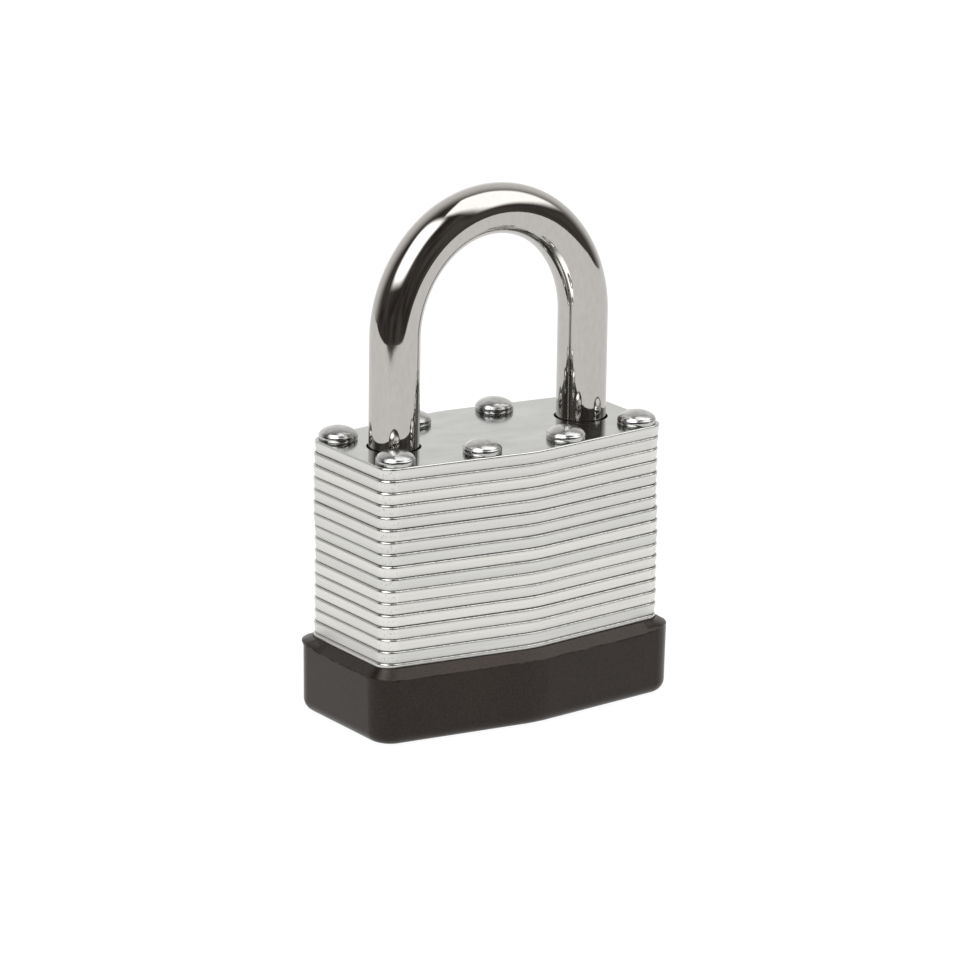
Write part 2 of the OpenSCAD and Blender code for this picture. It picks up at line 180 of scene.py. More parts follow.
def apply_modifier(piece, kind, **settings):
    """Add a modifier with its settings and make it part of the mesh."""
    only(piece)
    modifier = piece.modifiers.new(kind.lower(), kind)
    for name, value in settings.items():
        setattr(modifier, name, value)
    bpy.ops.object.modifier_apply(modifier=modifier.name)


def carve(piece, cutter):
    """Cut one solid out of another, and throw the cutter away."""
    apply_modifier(piece, "BOOLEAN", operation="DIFFERENCE", solver="EXACT", object=cutter)
    bpy.data.objects.remove(cutter)


def join(pieces):
    """Join solids into the first of them."""
    bpy.ops.object.select_all(action="DESELECT")
    for piece in pieces:
        piece.select_set(True)
    bpy.context.view_layer.objects.active = pieces[0]
    bpy.ops.object.join()
    return pieces[0]


def smooth(piece, degrees=smooth_below):
    """Shade flat areas flat and rounded ones smooth."""
    only(piece)
    bpy.ops.object.shade_smooth_by_angle(angle=math.radians(degrees))
    apply_modifier(piece, "WEIGHTED_NORMAL", keep_sharp=True)


def hand_over(piece, body, slot, *stands_for):
    """The finished piece rides on a body and stands for the solid parts it was modelled over."""
    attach(piece, body)
    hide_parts(*stands_for)
    print(piece.name, "has", len(piece.data.polygons), "faces")


# %% [markdown]
# ## The six-sided body
# The plates, the bumper and the hollow in the bumper all have the same outline, only larger or
# smaller. It starts as a plain box. A cut down the middle gives the front and back an edge that can
# be pulled outwards, and bevels round the corners and the middle bend.

# %% A solid with the lock's outline
least_r = 0.3 * mm


def tangent(radius, half_angle):
    """Distance from a corner at which an arc of a radius leaves its sides."""
    return radius / math.tan(half_angle)


def body_blank(name, grow, low, high):
    """A box with the lock's outline, larger by a margin, between two heights."""
    width = plate_w + 2 * grow
    depth = end_depth + 2 * grow
    place = (0, 0, (low + high) / 2)
    bpy.ops.mesh.primitive_cube_add(size=1, location=place, scale=(width, depth, high - low))
    piece = new_piece(name)
    bpy.ops.mesh.select_all(action="SELECT")
    bpy.ops.mesh.bisect(plane_co=(0, 0, 0), plane_no=(1, 0, 0))
    for side in (-1, 1):
        pick("EDGE", lambda middle, edge: upright(edge) and abs(middle.x) < hair and middle.y * side > 0)
        bpy.ops.transform.translate(value=(0, side * face_bulge, 0))
    pick("EDGE", lambda middle, edge: not upright(edge) and abs(middle.x) < hair and abs(middle.y) < hair)
    bpy.ops.mesh.dissolve_edges(use_verts=False)
    slant = math.atan(face_bulge / (width / 2))
    pick("EDGE", lambda middle, edge: upright(edge) and abs(middle.x) > width / 4)
    offset = tangent(max(corner_r + grow, least_r), (math.pi / 2 + slant) / 2)
    bpy.ops.mesh.bevel(offset_type="OFFSET", offset=offset, segments=8, profile=0.5, affect="EDGES")
    pick("EDGE", lambda middle, edge: upright(edge) and abs(middle.x) < hair)
    offset = tangent(ridge_r + grow, math.pi / 2 - slant)
    bpy.ops.mesh.bevel(offset_type="OFFSET", offset=offset, segments=6, profile=0.5, affect="EDGES")
    return piece


def pick_cap(height):
    """Select the flat faces at a height."""
    pick("FACE", lambda middle, face: abs(face.normal.z) > 0.9 and abs(middle.z - height) < hair)


def step_in(margin, rise):
    """Make the selected cap narrower by a margin and move it outwards by a rise."""
    bpy.ops.mesh.inset(thickness=margin, depth=rise, use_even_offset=True)


print("outline radius mm:", corner_r / mm, "middle bend mm:", ridge_r / mm)

# %% [markdown]
# ## Turned solids
# Rivet heads and round holes are turned shapes. A ring is drawn out and scaled through a profile of
# radius and height, as on a lathe, and a radius of nought closes it in a point.

# %% A solid turned from a profile
small_sides = 48
print("a small round solid has", small_sides, "sides")


def turned(name, profile, at=(0, 0), sides=small_sides):
    """A round solid through each radius and height of a profile, lowest first."""
    radius, height = profile[0]
    foot = (*at, height)
    bpy.ops.mesh.primitive_circle_add(vertices=sides, radius=radius, fill_type="NGON", location=foot)
    piece = new_piece(name)
    for wide, high in profile[1:]:
        bpy.ops.mesh.extrude_region_move(TRANSFORM_OT_translate={"value": (0, 0, high - height)})
        if wide > 0:
            share = wide / radius
            bpy.ops.transform.resize(value=(share, share, 1), center_override=(*at, high))
            radius = wide
        else:
            bpy.ops.mesh.merge(type="CENTER")
        height = high
    close_piece()
    return piece


# %% [markdown]
# ## Materials: the helpers
# Colours are written as they look on a screen and turned to the linear values that Blender
# calculates with. `add` makes any node, with its settings and links, and `connect` does the linking
# for it, also for nodes that are there already, such as a material's shader.

# %% Colour and node helpers
# A Map Range node with this setting steps softly from one value to another
soft = {"interpolation_type": "SMOOTHSTEP"}


def linear(colour):
    """A hex colour as the linear red, green, blue and alpha that a socket takes."""
    parts = [int(colour[k:k + 2], 16) / 255 for k in (1, 3, 5)]
    return (*[p / 12.92 if p < 0.04045 else ((p + 0.055) / 1.055) ** 2.4 for p in parts], 1)


def connect(node, *values, **inputs):
    """Fill a node's inputs, in order or by name, with values or with links from sockets or nodes."""
    for key, value in [*enumerate(values), *inputs.items()]:
        socket = node.inputs[key.replace("_", " ") if isinstance(key, str) else key]
        if isinstance(value, bpy.types.Node):
            value = next(output for output in value.outputs if output.enabled)
        if isinstance(value, bpy.types.NodeSocket):
            node.id_data.links.new(value, socket)
        else:
            socket.default_value = value


def add(tree, kind, *values, stops=(), **named):
    """Add a node: small names are its settings, capital ones its inputs, stops a ramp's colours."""
    made = tree.nodes.new("ShaderNode" + kind)
    for name in [name for name in named if name.islower()]:
        setattr(made, name, named.pop(name))
    for k, (position, colour) in enumerate(stops):
        elements = made.color_ramp.elements
        element = elements[k] if k < 2 else elements.new(position)
        element.position = position
        element.color = linear(colour) if isinstance(colour, str) else colour
    connect(made, *values, **named)
    return made


def new_material(name, **shader):
    """A material with its shader's inputs filled; returns it, its tree and its shader."""
    material = bpy.data.materials.new(name)
    material.use_nodes = True
    surface = material.node_tree.nodes["Principled BSDF"]
    connect(surface, **shader)
    return material, material.node_tree, surface


def grains(*lengths):
    """The scale of a pattern whose grains have these lengths along X, Y and Z, in millimetres."""
    return [1 / (length * mm) for length in lengths]


def paint(material, *pieces):
    """Give pieces one material all over."""
    for piece in pieces:
        piece.data.materials.clear()
        piece.data.materials.append(material)


print("white is", linear("#ffffff")[:3], "mid grey is", round(linear("#808080")[0], 3))

# %% [markdown]
# ## Zinc-plated steel, stamped
# The plates are punched from sheet and plated with zinc. Punching leaves each side face with faint
# streaks along its length, and the soft zinc makes them a pale satin grey. Where two plates meet, a
# thin dark line of painted shade stands for the shadow in the gap: clean and black on the two ends,
# greyer and ragged on the front and the back. All of this follows height, so the pattern counts the
# layers from the foot of the stack: the whole number of a height measured in plates tells the plates
# apart, and the rest of it tells how high a point is on its plate.

# %% Where a point is on its plate
end_band = (0.8 * mm, 0.2 * mm)
corner_band = (2.3 * mm, 1.7 * mm)
face_band = (1.8 * mm, 1.0 * mm)
print("the corners count from", round(corner_band[0] / mm, 1), "mm before each end")


def plate_masks(tree, place):
    """The height counted in plates, and masks of the ends, the rounded corners and the top plate."""
    axes = add(tree, "SeparateXYZ", place)
    layer = add(tree, "Math", axes.outputs["Z"], 1 / plate_t, -stack_low / plate_t, operation="MULTIPLY_ADD")
    far_x = add(tree, "Math", axes.outputs["X"], operation="ABSOLUTE")
    far_y = add(tree, "Math", axes.outputs["Y"], operation="ABSOLUTE")
    ends = add(tree, "MapRange", far_x, half_w - end_band[0], half_w - end_band[1], **soft)
    near_end = add(tree, "MapRange", far_x, half_w - corner_band[0], half_w - corner_band[1], **soft)
    near_face = add(tree, "MapRange", far_y, half_d - face_band[0], half_d - face_band[1], **soft)
    corner = add(tree, "Math", near_end, near_face, operation="MULTIPLY")
    top_plate = add(tree, "MapRange", layer, len(plate_names) - 0.9, len(plate_names) - 0.8, **soft)
    return layer, ends, corner, top_plate


# %% [markdown]
# The plating has a tone of its own on each plate, with the streaks in it. Two soft pale bands with a
# darker one between run along each side: painted light and shade, for a punched side tilts a little
# and so mirrors more of the white table in some bands and more of the dark room in others. The bands
# wander a little with the streaks.

# %% The tone of the plating, and painted bands of light and shade
tone_seed = 7.0
tone_range = [(0.25, "#e1e1de"), (0.80, "#f0eee9")]
painted_band_levels = [(0.05, 0.86), (0.35, 1.03), (0.5, 0.90), (0.65, 1.14), (1.0, 0.80)]
print("plating from", tone_range[0][1], "to", tone_range[1][1], "with", len(painted_band_levels), "levels of band")


def plating(tree, whole, part, streaks):
    """The zinc's colour by plate number and streaks, times painted light and shade by height on the plate.
    """
    tone = add(tree, "Math", whole, tone_seed, operation="ADD")
    tone = add(tree, "TexWhiteNoise", W=tone, noise_dimensions="1D")
    # The plate's own tone and the streaks count equally
    blend = add(tree, "Math", streaks, 0.55, operation="MULTIPLY")
    blend = add(tree, "Math", tone, 0.55, blend, operation="MULTIPLY_ADD")
    zinc = add(tree, "ValToRGB", blend, stops=tone_range)
    # The streaks move the painted bands up or down by at most 0.3 of a plate
    wander = add(tree, "Math", streaks, 0.6, -0.3, operation="MULTIPLY_ADD")
    wander = add(tree, "Math", part, wander, operation="ADD")
    # Painted light and shade: paler and darker bands across the height of each plate
    painted_bands = add(tree, "ValToRGB", wander, stops=[(height, (v, v, v, 1)) for height, v in painted_band_levels])
    painted_bands.color_ramp.interpolation = "B_SPLINE"
    return add(tree, "Mix", data_type="RGBA", blend_type="MULTIPLY", Factor=1.0, A=zinc, B=painted_bands)


# %% [markdown]
# The line between two plates is painted shade in the narrow gap, with a sharp upper side. Below it,
# the painted shade fades raggedly on to the top of the plate beneath. On the two ends the line is
# narrower and cleaner. The top plate has nothing above it, so its upper edge stays clean.

# %% The painted shade between two plates
depth_seed = 31.7
line_h = 0.06
ragged_h = 0.24
print("a joint line is from", round(line_h * plate_t / mm, 2), "mm high, to twice that")


def joint_shade(tree, whole, part, burr, ends, top_plate):
    """Painted shade: one on open metal, less in the line between two plates; heights are shares of a plate.
    """
    # Each line has its own depth, which makes it higher and darker
    depth = add(tree, "Math", whole, depth_seed, operation="ADD")
    depth = add(tree, "TexWhiteNoise", W=depth, noise_dimensions="1D")
    narrower = add(tree, "Math", ends, -0.3, 1.0, operation="MULTIPLY_ADD")
    line_top = add(tree, "Math", depth, line_h, line_h, operation="MULTIPLY_ADD")
    line_top = add(tree, "Math", line_top, narrower, operation="MULTIPLY")
    line_low = add(tree, "Math", line_top, 0.05, operation="SUBTRACT")
    uneven = add(tree, "Math", burr, line_h, -line_h / 2, operation="MULTIPLY_ADD")
    uneven = add(tree, "Math", part, uneven, operation="ADD")
    darkest = add(tree, "Math", depth, -0.22, 0.28, operation="MULTIPLY_ADD")
    line = add(tree, "MapRange", uneven, line_low, line_top, darkest, **soft)
    # Painted shade on the plate below starts at 0.9 of its height, leaving 0.35 of the light at the joint
    frayed_shade = add(tree, "Math", burr, ragged_h, -ragged_h / 2, operation="MULTIPLY_ADD")
    frayed_shade = add(tree, "Math", part, frayed_shade, operation="ADD")
    frayed_shade = add(tree, "MapRange", frayed_shade, 0.90, 1.04, 1.0, 0.35, **soft)
    # The ends get little of the painted shade below a joint, and the top plate none
    shade_free = add(tree, "Math", ends, 0.8, operation="MULTIPLY")
    shade_free = add(tree, "Math", top_plate, shade_free, operation="MAXIMUM")
    frayed_shade = add(tree, "Math", frayed_shade, shade_free, operation="MAXIMUM")
    return add(tree, "Math", line, frayed_shade, operation="MULTIPLY")


# %% [markdown]
# At the rounded corners the punched steel is torn rather than cut, which shows as pitted specks and
# a coarser grain. The upper edge of each plate is a small bead there, and handling rubs it bright.

# %% Zinc-plated plate edges
def plate_edge_material():
    """Satin metal, faint streaks, a tone for each plate, painted bands of light and painted shade at joints.
    """
    material, tree, surface = new_material("zinc_plated_stamped_steel", Metallic=1)
    place = add(tree, "TexCoord").outputs["Object"]
    layer, ends, corner, top_plate = plate_masks(tree, place)
    whole = add(tree, "Math", layer, operation="FLOOR")
    part = add(tree, "Math", layer, operation="FRACT")
    # Streaks 25 mm long and 0.35 mm high, which is coarser than the real ones
    streaks = add(tree, "Mapping", place, Scale=grains(25, 25, 0.35))
    streaks = add(tree, "TexNoise", streaks, Scale=1.0, Detail=3.0, Roughness=0.6)
    # Burrs 0.3 mm long on the front and the back, long and even on the ends
    burr = add(tree, "Mapping", place, Scale=grains(0.3, 5, 0.3))
    burr = add(tree, "TexNoise", burr, Scale=1.0, Detail=2.0)
    # Pitted specks 0.25 mm across, on the corners only
    specks = add(tree, "Mapping", place, Scale=grains(0.25, 0.25, 0.25))
    specks = add(tree, "TexNoise", specks, Scale=1.0, Detail=1.0)
    specks = add(tree, "MapRange", specks, 0.58, 0.74, **soft)
    specks = add(tree, "Math", specks, corner, operation="MULTIPLY")
    # Painted joint shade, specks darker than the metal round them, and corners a little paler than the rest
    shade = joint_shade(tree, whole, part, burr, ends, top_plate)
    for mask, change in ((specks, -0.3), (corner, 0.06)):
        factor = add(tree, "Math", mask, change, 1.0, operation="MULTIPLY_ADD")
        shade = add(tree, "Math", shade, factor, operation="MULTIPLY")
    # The zinc with its painted bands, darkened by the painted joint shade and the specks
    colour = plating(tree, whole, part, streaks)
    colour = add(tree, "Mix", data_type="RGBA", blend_type="MULTIPLY", Factor=1.0, A=colour, B=shade)
    # The bead at the top of each plate is rubbed bright at the corners, and all along the top plate
    rubbed = add(tree, "Math", top_plate, burr, operation="MULTIPLY")
    rubbed = add(tree, "Math", corner, rubbed, operation="MAXIMUM")
    bead = add(tree, "MapRange", part, 0.78, 0.88, **soft)
    gloss = add(tree, "Math", bead, rubbed, operation="MULTIPLY")
    rough = add(tree, "Math", gloss, -0.18, 0.37, operation="MULTIPLY_ADD")
    # The streaks stand in relief, with a grain of the plating, 0.15 mm, most of it at the corners
    grain = add(tree, "Mapping", place, Scale=grains(0.15, 0.15, 0.15))
    grain = add(tree, "TexNoise", grain, Scale=1.0, Detail=1.0)
    height = add(tree, "Math", corner, 0.3, 0.08, operation="MULTIPLY_ADD")
    relief = add(tree, "Math", grain, height, streaks, operation="MULTIPLY_ADD")
    relief = add(tree, "Bump", Height=relief, Strength=0.8, Distance=0.02 * mm)
    connect(surface, Base_Color=colour, Roughness=rough, Normal=relief)
    return material


plate_edge = plate_edge_material()
print("material", plate_edge.name, "has", len(plate_edge.node_tree.nodes), "nodes")

# %% [markdown]
# ## Cold-rolled sheet
# The top of the stack shows the sheet's own face, which the mill rolled smooth. It mirrors the
# rivets and the shackle's legs, with a faint grain along the rolling direction and soft clouds in
# the plating.

# %% Zinc-plated sheet face
def sheet_material():
    """Smooth, slightly cloudy metal with a very faint rolling grain along X."""
    material, tree, surface = new_material("zinc_plated_rolled_sheet", Metallic=1)
    place = add(tree, "TexCoord").outputs["Object"]
    clouds = add(tree, "Mapping", place, Scale=grains(5, 3, 5))
    clouds = add(tree, "TexNoise", clouds, Scale=1.0, Detail=4.0)
    zinc = add(tree, "ValToRGB", clouds, stops=[(0.3, "#aeb0af"), (0.7, "#bfc0bd")])
    rough = add(tree, "MapRange", clouds, To_Min=0.10, To_Max=0.17)
    relief = add(tree, "Mapping", place, Scale=grains(0.4, 0.15, 1))
    relief = add(tree, "TexNoise", relief, Scale=1.0, Detail=2.0)
    relief = add(tree, "Bump", Height=relief, Strength=0.14, Distance=0.02 * mm)
    connect(surface, Base_Color=zinc, Roughness=rough, Normal=relief)
    return material


sheet_face = sheet_material()
print("material", sheet_face.name)

# %% [markdown]
# ## One plate, and its copies
# A punched plate has one crisp edge, pushed out into a small bead, and from there its side draws in
# towards the other face. The bead is what catches the light at each corner of the real stack. The
# blank is modelled once and copied for each plate in sight, each copy moved to its plate's own
# place, for the plates of a real stack are never quite in line. The holes come from the solid
# plates: the walls of their holes are made into plugs, which are cut out of the blank.

# %% The plate blank
bead_h = 0.3 * mm
bead_r = 0.2 * mm
bead_low = stack_high - bead_h
draw_in = [(0.03, 0.12), (0.05, 0.26), (0.05, 0.36), (0.03, 0.30), (0.02, 0.13), (0.04, 0.03)]


def make_blank():
    """A plate without holes: a bead at the top, and sides that draw in below it."""
    piece = body_blank("plate_blank", 0, bead_low, stack_high)
    pick_cap(bead_low)
    for margin, drop in draw_in:
        step_in(margin * mm, drop * mm)
    pick_cap(stack_high)
    bpy.ops.mesh.region_to_loop()
    bpy.ops.mesh.bevel(offset_type="OFFSET", offset=bead_r, segments=3, profile=0.5, affect="EDGES")
    close_piece()
    return piece


blank = make_blank()
print("plate blank:", [round(v / mm, 3) for v in blank.dimensions])

# %% Plugs from the walls of a solid plate's holes
stand_out = 0.5 * mm


def hole_plugs(node):
    """Solids that fill all the holes of a solid plate and stand out above and below it."""
    low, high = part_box(node)
    plugs = frame["nodes"][node].copy()
    plugs.data = frame["nodes"][node].data.copy()
    plugs.parent = None
    bpy.context.scene.collection.objects.link(plugs)
    only(plugs)
    bpy.ops.object.mode_set(mode="EDIT")
    bpy.ops.mesh.select_all(action="SELECT")
    bpy.ops.mesh.remove_doubles(threshold=touch)
    pick("FACE", lambda middle, face: abs(face.normal.z) > 0.9)
    bpy.ops.mesh.delete(type="ONLY_FACE")
    pick("EDGE", lambda middle, edge: not edge.link_faces)
    bpy.ops.mesh.delete(type="EDGE")
    pick("VERT", lambda middle, vertex: middle.x > high.x - 10 * hair)
    bpy.ops.mesh.select_linked()
    bpy.ops.mesh.delete(type="VERT")
    for height, rise in ((high.z, stand_out), (low.z, -stand_out)):
        pick("EDGE", lambda middle, edge: edge.is_boundary and abs(middle.z - height) < hair)
        bpy.ops.mesh.extrude_edges_move(TRANSFORM_OT_translate={"value": (0, 0, rise)})
    bpy.ops.mesh.select_all(action="SELECT")
    bpy.ops.mesh.fill_holes(sides=0)
    close_piece()
    return plugs


def make_plate(node):
    """A copy of the blank at a plate's own place, with that plate's holes."""
    low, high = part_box(node)
    piece = blank.copy()
    piece.data = blank.data.copy()
    piece.name = node + "_stamped"
    bpy.context.scene.collection.objects.link(piece)
    centre = (low + high) / 2
    piece.data.transform(Matrix.Translation((centre.x, centre.y, high.z - stack_high)))
    carve(piece, hole_plugs(node))
    smooth(piece, 40)
    return piece


stamped = {node: make_plate(node) for node in shown_plates}
bpy.data.objects.remove(blank)
print("plates made:", len(stamped))

# %% Plates take their material
for node, piece in stamped.items():
    paint(plate_edge, piece)
    slot = "plate_steel"
    if node == plate_names[-1]:
        piece.data.materials.append(sheet_face)
        for face in piece.data.polygons:
            if face.normal.z > 0.9:
                face.material_index = 1
        slot = "top_plate_steel"
    hand_over(piece, "body", slot, node)

# %% [markdown]
# ## Rivets
# A long rivet goes down through the whole stack at each of eight places, and its upper end is
# peened over into a button: a low rim, a small step and a dome. The domes are satin and a little
# lumpy from the peening, and the rims are brighter.

# %% Satin zinc on the rivets
rim_h = 0.7 * mm


def rivet_material():
    """Satin domes on brighter rims, with the shallow dents of peening."""
    material, tree, surface = new_material("zinc_plated_peened_steel", Metallic=1)
    place = add(tree, "TexCoord").outputs["Object"]
    dents = add(tree, "Mapping", place, Scale=grains(1.1, 1.1, 1.1))
    dents = add(tree, "TexNoise", dents, Scale=1.0, Detail=3.0)
    zinc = add(tree, "ValToRGB", dents, stops=[(0.3, "#b4b5b5"), (0.7, "#d3d2d0")])
    height = add(tree, "SeparateXYZ", place).outputs["Z"]
    rim_top = stack_high + rim_h
    rough = add(tree, "MapRange", height, rim_top - 0.05 * mm, rim_top, 0.18, 0.25, **soft)
    relief = add(tree, "Bump", Height=dents, Strength=0.45, Distance=0.15 * mm)
    connect(surface, Base_Color=zinc, Roughness=rough, Normal=relief)
    return material


rivet_metal = rivet_material()
print("material", rivet_metal.name)

# %% The profile of a rivet
rivet_low, rivet_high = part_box("rivets")
rim_z = stack_high + rim_h
dome_h = rivet_high.z - rim_z
head_r = 2.35 * mm
dome_r = 2.25 * mm
ball_r = (dome_r ** 2 + dome_h ** 2) / (2 * dome_h)
shank_r = 1.6 * mm
tail_r = 2.2 * mm
tail_bevel = 0.15 * mm
rivet_inset = 2.4 * mm
ball_share = 0.4
dome_steps = 12
tail = [(tail_r - tail_bevel, rivet_low.z), (tail_r, rivet_low.z + tail_bevel), (tail_r, stack_low)]
shank = [(shank_r, stack_low + hair), (shank_r, stack_high)]
rim = [(head_r - 0.08 * mm, stack_high + hair), (head_r, stack_high + 0.08 * mm)]
rim += [(head_r, rim_z - 0.12 * mm), (head_r - 0.05 * mm, rim_z - 0.03 * mm), (dome_r, rim_z)]
# The dome is a blend of a cut ball and half an egg, for peening leaves its shoulders full
dome = []
for k in range(dome_steps - 1, 0, -1):
    share = math.sin(math.pi / 2 * k / dome_steps)
    ball = ball_r * math.cos(math.asin(dome_r * share / ball_r)) - (ball_r - dome_h)
    egg = dome_h * math.sqrt(1 - share ** 2)
    dome.append((dome_r * share, rim_z + ball_share * ball + (1 - ball_share) * egg))
dome.append((0, rivet_high.z))
rivet_profile = tail + shank + rim + dome
print("rivet profile:", len(rivet_profile), "points, dome", round(dome_h / mm, 2), "mm high")

# %% One rivet and its seven copies
def face_y(x):
    """How far the front or back of a plate stands out at a place along it."""
    return half_d + face_bulge * (1 - abs(x) / half_w)


end_x = rivet_high.x - head_r
mid_x = 6 * mm
rivet_spots = []
for x in (-end_x, -mid_x, mid_x, end_x):
    reach = face_y(x) - rivet_inset
    rivet_spots += [(x, -reach), (x, reach)]
first_rivet = turned("rivets_peened", rivet_profile)
rivet_copies = []
for x, y in rivet_spots:
    each = first_rivet.copy()
    each.data = first_rivet.data.copy()
    each.data.transform(Matrix.Translation((x, y, 0)))
    bpy.context.scene.collection.objects.link(each)
    rivet_copies.append(each)
bpy.data.objects.remove(first_rivet)
rivets = join(rivet_copies)
rivets.name = "rivets_peened"
smooth(rivets, 50)
paint(rivet_metal, rivets)
hand_over(rivets, "body", "rivet_steel", "rivets")

# %% [markdown]
# ## The shackle
# The shackle is a chromed bar bent into a bow. The end of the heel leg has a groove for the clip
# that keeps it in the lock, and both legs have a flat-bottomed notch for a bolt. A round bar is
# drawn up the heel leg, spun round the bow and drawn down the toe leg. The bow is a little rounder
# at its shoulders than a half circle would be, as a bar bent over a former is, so it is spun in
# three arcs.

# %% Chromium plate
def chrome_material():
    """A clear mirror with the faint waviness of a bent and polished bar."""
    material, tree, surface = new_material("chromium_plated_steel", Metallic=1, Roughness=0.05)
    place = add(tree, "TexCoord").outputs["Object"]
    waves = add(tree, "Mapping", place, Scale=grains(3, 3, 6))
    waves = add(tree, "TexNoise", waves, Scale=1.0, Detail=1.0)
    wisps = add(tree, "Mapping", place, Scale=grains(0.4, 0.4, 1.2))
    wisps = add(tree, "TexNoise", wisps, Scale=1.0, Detail=2.0)
    tint = add(tree, "ValToRGB", wisps, stops=[(0.2, "#bdbab6"), (0.8, "#c6c3bf")])
    relief = add(tree, "Math", wisps, 0.05, waves, operation="MULTIPLY_ADD")
    relief = add(tree, "Bump", Height=relief, Strength=0.3, Distance=0.06 * mm)
    connect(surface, Base_Color=tint, Normal=relief)
    return material


chrome = chrome_material()
print("material", chrome.name)

# %% Sizes of the bar
shackle_low, shackle_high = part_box("shackle")
bar_r = (shackle_high.y - shackle_low.y) / 2
leg_x = shackle_high.x - bar_r
side_r = 14.78 * mm
side_turn = math.radians(45)
top_r = side_r - (side_r - leg_x) / math.cos(side_turn)
top_centre = shackle_high.z - bar_r - top_r
spring_z = top_centre - (side_r - top_r) * math.sin(side_turn)
end_bevel = 0.6 * mm
clip_low, clip_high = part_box("heel_clip")
clip_play = 0.05 * mm
groove_r = bar_r - 0.8 * mm
toe_below_bolt = 1.4 * mm
toe_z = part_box("bolt_right")[0].z - toe_below_bolt
print("bow: radii mm:", round(side_r / mm, 2), round(top_r / mm, 2), "starts at", round(spring_z / mm, 2))

# %% The bar, its bow and its ends
def draw_on(profile, radius):
    """Draw the open end of the bar on, by each rise, to each radius."""
    mesh = bpy.context.edit_object.data
    for wide, rise in profile:
        bpy.ops.mesh.extrude_region_move(TRANSFORM_OT_translate={"value": (0, 0, rise)})
        shape = bmesh.from_edit_mesh(mesh)
        ring = [vertex.co.copy() for vertex in shape.verts if vertex.select]
        middle = sum(ring, Vector()) / len(ring)
        share = wide / radius
        bpy.ops.transform.resize(value=(share, share, 1), center_override=tuple(middle))
        radius = wide


def make_bar():
    """The whole bar: heel end with its groove, the bow in three arcs, and the toe end."""
    start = (-leg_x, 0, shackle_low.z)
    end_r = bar_r - end_bevel
    bpy.ops.mesh.primitive_circle_add(vertices=64, radius=end_r, fill_type="NGON", location=start)
    piece = new_piece("shackle_bar")
    groove_low = clip_low.z - clip_play - shackle_low.z
    groove_h = clip_high.z - clip_low.z + 2 * clip_play
    straight = spring_z - shackle_low.z - groove_low - groove_h - 2 * hair
    heel = [(bar_r, end_bevel), (bar_r, groove_low - end_bevel)]
    heel += [(groove_r, hair), (groove_r, groove_h), (bar_r, hair), (bar_r, straight)]
    draw_on(heel, end_r)
    for turn, x, z, steps in (
        (side_turn, side_r - leg_x, spring_z, 16),
        (math.pi - 2 * side_turn, 0, top_centre, 32),
        (side_turn, leg_x - side_r, spring_z, 16),
    ):
        bpy.ops.mesh.spin(steps=steps, angle=turn, center=(x, 0, z), axis=(0, -1, 0))
    draw_on([(bar_r, toe_z + end_bevel - spring_z), (end_r, -end_bevel)], bar_r)
    close_piece()
    return piece


bar = make_bar()
print("bar:", [round(v / mm, 2) for v in bar.dimensions])

# %% The notches for the bolts
cutter_over = 1 * mm
notch_depth_play = 0.25 * mm
notch_height_play = 0.3 * mm
notch_bevel = 0.25 * mm


def notch_cutter(side, drop):
    """A block with bevelled edges, where a bolt's nose enters the inner side of a leg."""
    bolt_low, bolt_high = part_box("bolt_right")
    inner = leg_x - bar_r - cutter_over
    outer = bolt_high.x + joint_limit["bolt_right_slide"] + notch_depth_play
    low = bolt_low.z - notch_height_play - drop
    high = bolt_high.z + notch_height_play - drop
    place = (side * (inner + outer) / 2, 0, (low + high) / 2)
    bpy.ops.mesh.primitive_cube_add(size=1, location=place, scale=(outer - inner, 3 * bar_r, high - low))
    piece = new_piece("notch_cutter")
    pick("EDGE", lambda middle, edge: abs(abs(middle.x) - outer) < hair and abs(middle.y) < hair)
    bpy.ops.mesh.bevel(offset_type="OFFSET", offset=notch_bevel, segments=3, profile=0.5, affect="EDGES")
    close_piece()
    return piece


lift = joint_limit["shackle_lift"]
for side, drop in ((1, 0), (-1, 0), (-1, lift)):
    carve(bar, notch_cutter(side, drop))
smooth(bar, 40)
paint(chrome, bar)
hand_over(bar, "shackle", "shackle_chrome", "shackle")

# %% [markdown]
# ## The bumper
# The bumper is moulded in black plastic and pushed up over the bottom of the stack. Its lower edge
# is rounded, and a sloped rim runs round the top. Moulding leaves a thin, uneven lip where the rim
# meets the wall, and it flares up at two of the corners. The pieces do not sit quite true on the
# stack, so the whole bumper stands a hair to the right.

# %% Moulded black plastic
def bumper_material():
    """Matt black plastic with the fine grain of a spark-eroded mould."""
    material, tree, surface = new_material("moulded_matt_abs", Roughness=0.28, IOR=1.44)
    place = add(tree, "TexCoord").outputs["Object"]
    # The grain is 0.3 mm across, which is coarser than the real one
    grain = add(tree, "Mapping", place, Scale=grains(0.3, 0.3, 0.3))
    grain = add(tree, "TexNoise", grain, Scale=1.0, Detail=3.0)
    clouds = add(tree, "Mapping", place, Scale=grains(6, 6, 6))
    clouds = add(tree, "TexNoise", clouds, Scale=1.0, Detail=2.0)
    mottle = add(tree, "Math", clouds, 0.3, operation="MULTIPLY")
    mottle = add(tree, "Math", grain, 0.7, mottle, operation="MULTIPLY_ADD")
    black = add(tree, "ValToRGB", mottle, stops=[(0.35, "#0a0807"), (0.65, "#241d19")])
    relief = add(tree, "Bump", Height=grain, Strength=0.6, Distance=0.02 * mm)
    connect(surface, Base_Color=black, Specular_Tint=linear("#fff0e6"), Normal=relief)
    return material


bumper_plastic = bumper_material()
print("material", bumper_plastic.name)

